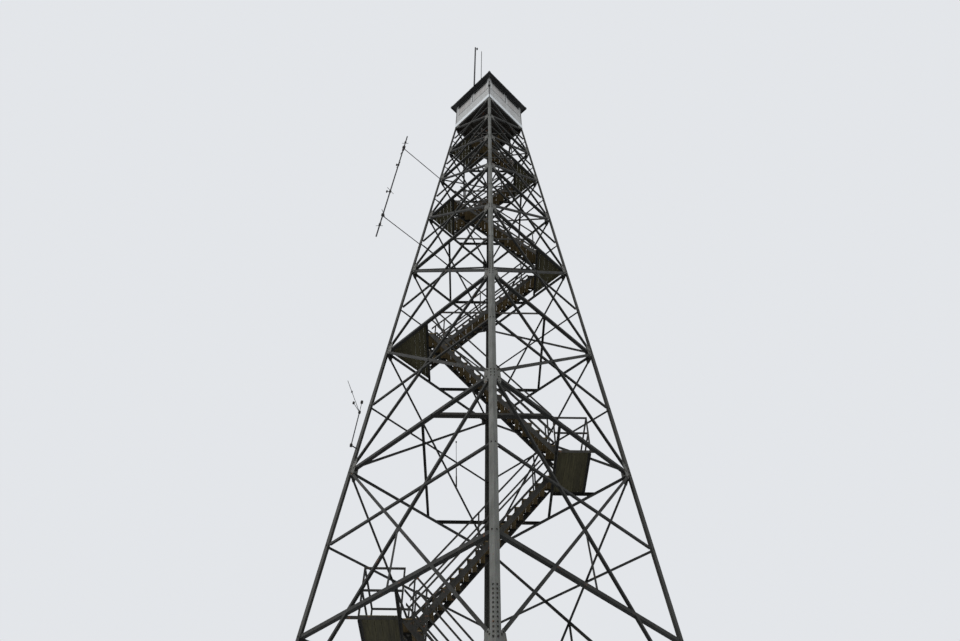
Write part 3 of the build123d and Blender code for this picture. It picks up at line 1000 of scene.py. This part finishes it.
def roof_masts():
    """The two round masts at the eave, each with its foot bracket, and a knob on the taller one."""
    mesh = bmesh.new()
    for points in islands("roof_masts"):
        tip = axis_of(points)[1]
        low = min(point.z for point in points)
        tall = tip.z > MAST_TOP - END_BAND
        radius = TALL_MAST_RADIUS if tall else SHORT_MAST_RADIUS
        tube(mesh, [Vector((tip.x, tip.y, low)), tip], radius, sides=12)
        far = max(point.y for point in points)
        start = (tip.x - BRACKET_HALF, -EAVE_HALF, low)
        block(mesh, start, (tip.x + BRACKET_HALF, far, low + BRACKET_HEIGHT))
        if tall:
            root = tip - UP * KNOB_DROP
            knob = root + Vector((KNOB_REACH, KNOB_REACH, 0))
            ends = [knob - UP * KNOB_LENGTH / 2, knob + UP * KNOB_LENGTH / 2]
            tube(mesh, [root, knob], KNOB_ARM_RADIUS)
            tube(mesh, ends, KNOB_RADIUS, sides=12)
    masts = new_piece("round_masts", mesh, ANTENNA_METAL)
    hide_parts("roof_masts")


def array_clamps():
    """Clamps along the mast of the tall antenna array."""
    mesh = bmesh.new()
    foot, tip = axis_of(max(islands("antenna_array"), key=len))
    half_clamp = (tip - foot).normalized() * CLAMP_HALF
    aside = Vector((-1, -1, 0)).normalized()
    for share, radius, reach in ARRAY_CLAMPS:
        place = foot.lerp(tip, share)
        tube(mesh, [place - half_clamp, place + half_clamp], radius, sides=8)
        if reach:
            end = place + aside * reach
            tube(mesh, [place, end], radius * CLAMP_ARM_SHARE, sides=6)
            tube(mesh, [end - half_clamp, end + half_clamp], radius * END_CLAMP_SHARE, sides=8)
    new_piece("array_clamps", mesh, BOLT_STEEL)


def small_antenna_knobs():
    """Knobs at the small antenna's joints and tips, and the far whip's thicker foot and tip."""
    mesh = bmesh.new()
    tip = axis_of(islands("side_antenna")[0])[1]
    for reach, lift, radius in SIDE_KNOBS:
        place = tip + Vector((0, reach, lift))
        tube(mesh, [place - UP * radius, place + UP * radius], radius, sides=8)
    foot, end = axis_of(islands("far_whip")[0])
    tube(mesh, [foot, foot.lerp(end, WHIP_FOOT)], WHIP_RADIUS, sides=8)
    tube(mesh, [end.lerp(foot, WHIP_TIP), end], WHIP_RADIUS, sides=8)
    new_piece("small_antenna_knobs", mesh, BOLT_STEEL)


# Feet
def footings():
    """Bevelled concrete piers, with anchor bolts through the foot plates."""
    piers = bmesh.new()
    bolts = bmesh.new()
    top = PIER_TOP + FOOT_THICKNESS
    reach = FOOT_PLATE / 2 - ANCHOR_INSET
    for points in islands("footings"):
        (x0, x1), (y0, y1), (z0, z1) = [extent(values) for values in zip(*points)]
        block(piers, (x0, y0, z0), (x1, y1, z1), bevel=PIER_BEVEL)
        for x in ((x0 + x1) / 2 - reach, (x0 + x1) / 2 + reach):
            for y in ((y0 + y1) / 2 - reach, (y0 + y1) / 2 + reach):
                place = Vector((x, y, top))
                hexagon(bolts, place, UP, ANCHOR_NUT_RADIUS, ANCHOR_NUT_HEIGHT)
                tube(bolts, [place, place + UP * ANCHOR_LENGTH], ANCHOR_RADIUS)
    bevelled = new_piece("concrete_piers", piers, CONCRETE)
    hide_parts("footings")
    new_piece("anchor_bolts", bolts, BOLT_STEEL)


# Ground, light and camera
def seen_rays(tree):
    """1 on rays from the camera and on those that glossy or clear surfaces send on."""
    rays = tree.nodes.new("ShaderNodeLightPath").outputs
    total = node(tree, "ShaderNodeMath", i0=rays["Is Camera Ray"], i1=rays["Is Glossy Ray"])
    total = node(tree, "ShaderNodeMath", i0=total.outputs[0], i1=rays["Is Transmission Ray"])
    total.use_clamp = True
    return total.outputs[0]


def floor():
    """A wide pale floor that gives back little light."""
    mesh = bmesh.new()
    bmesh.ops.create_circle(mesh, cap_ends=True, radius=FLOOR_REACH, segments=FLOOR_SIDES)
    data = bpy.data.meshes.new("floor")
    mesh.to_mesh(data)
    mesh.free()
    piece = bpy.data.objects.new("floor", data)
    bpy.context.scene.collection.objects.link(piece)
    made, tree, shader = material("floor")
    base = blend(tree, FLOOR_BOUNCE, FLOOR_SHOWN, share=seen_rays(tree))
    fill(tree, shader, Base_Color=base, Roughness=0.95)
    data.materials.append(made)


def sky():
    """A pale sky that lights the tower evenly, with a strength of 1 where it is seen."""
    world = bpy.data.worlds.new("sky")
    world.use_nodes = True
    bpy.context.scene.world = world
    tree = world.node_tree
    shown = seen_rays(tree)
    colour = blend(tree, SKY_LIGHT, SKY_SHOWN, share=shown)
    strength = node(tree, "ShaderNodeMath", i0=shown, i1=1 - SKY_STRENGTH, i2=SKY_STRENGTH)
    strength.operation = "MULTIPLY_ADD"
    fill(tree, tree.nodes["Background"], Color=colour, Strength=strength.outputs[0])


def sun(name, azimuth, height, strength, softness, colour=(1, 1, 1)):
    """A soft lamp from a direction: azimuth from +X towards +Y, height above the floor."""
    data = bpy.data.lights.new(name, "SUN")
    data.energy = strength
    data.angle = math.radians(softness)
    data.color = colour
    lamp = bpy.data.objects.new(name, data)
    bpy.context.scene.collection.objects.link(lamp)
    azimuth, height = math.radians(azimuth), math.radians(height)
    x = math.cos(azimuth) * math.cos(height)
    y = math.sin(azimuth) * math.cos(height)
    towards = Vector((x, y, math.sin(height)))
    lamp.rotation_euler = towards.to_track_quat("Z", "Y").to_euler()


def camera():
    """The camera of the photograph."""
    data = bpy.data.cameras.new("camera")
    data.lens = CAMERA_LENS
    data.sensor_width = SENSOR_WIDTH
    data.clip_end = 2 * FLOOR_REACH
    made = bpy.data.objects.new("camera", data)
    bpy.context.scene.collection.objects.link(made)
    turn = Matrix.Rotation(math.radians(CAMERA_HEADING - 90), 4, "Z")
    tilt = Matrix.Rotation(math.radians(90 + CAMERA_PITCH), 4, "X")
    roll = Matrix.Rotation(math.radians(CAMERA_ROLL), 4, "Z")
    made.matrix_world = Matrix.Translation(CAMERA_PLACE) @ turn @ tilt @ roll
    bpy.context.scene.camera = made


finish_nodes()
deck_boards()
treads()
tie_flange()
stringer_webs()
joint_plates()
leg_splices()
strut_fins()
cab_boards()
windows()
roof_trim()
corner_conduit()
roof_masts()
array_clamps()
small_antenna_knobs()
footings()

floor()
sky()
sun("key_light", azimuth=-62, height=48, strength=1.5, softness=30, colour=(1, 0.98, 0.95))
sun("back_light", azimuth=190, height=35, strength=0.8, softness=40)
camera()

bpy.context.scene.view_settings.view_transform = "Standard"
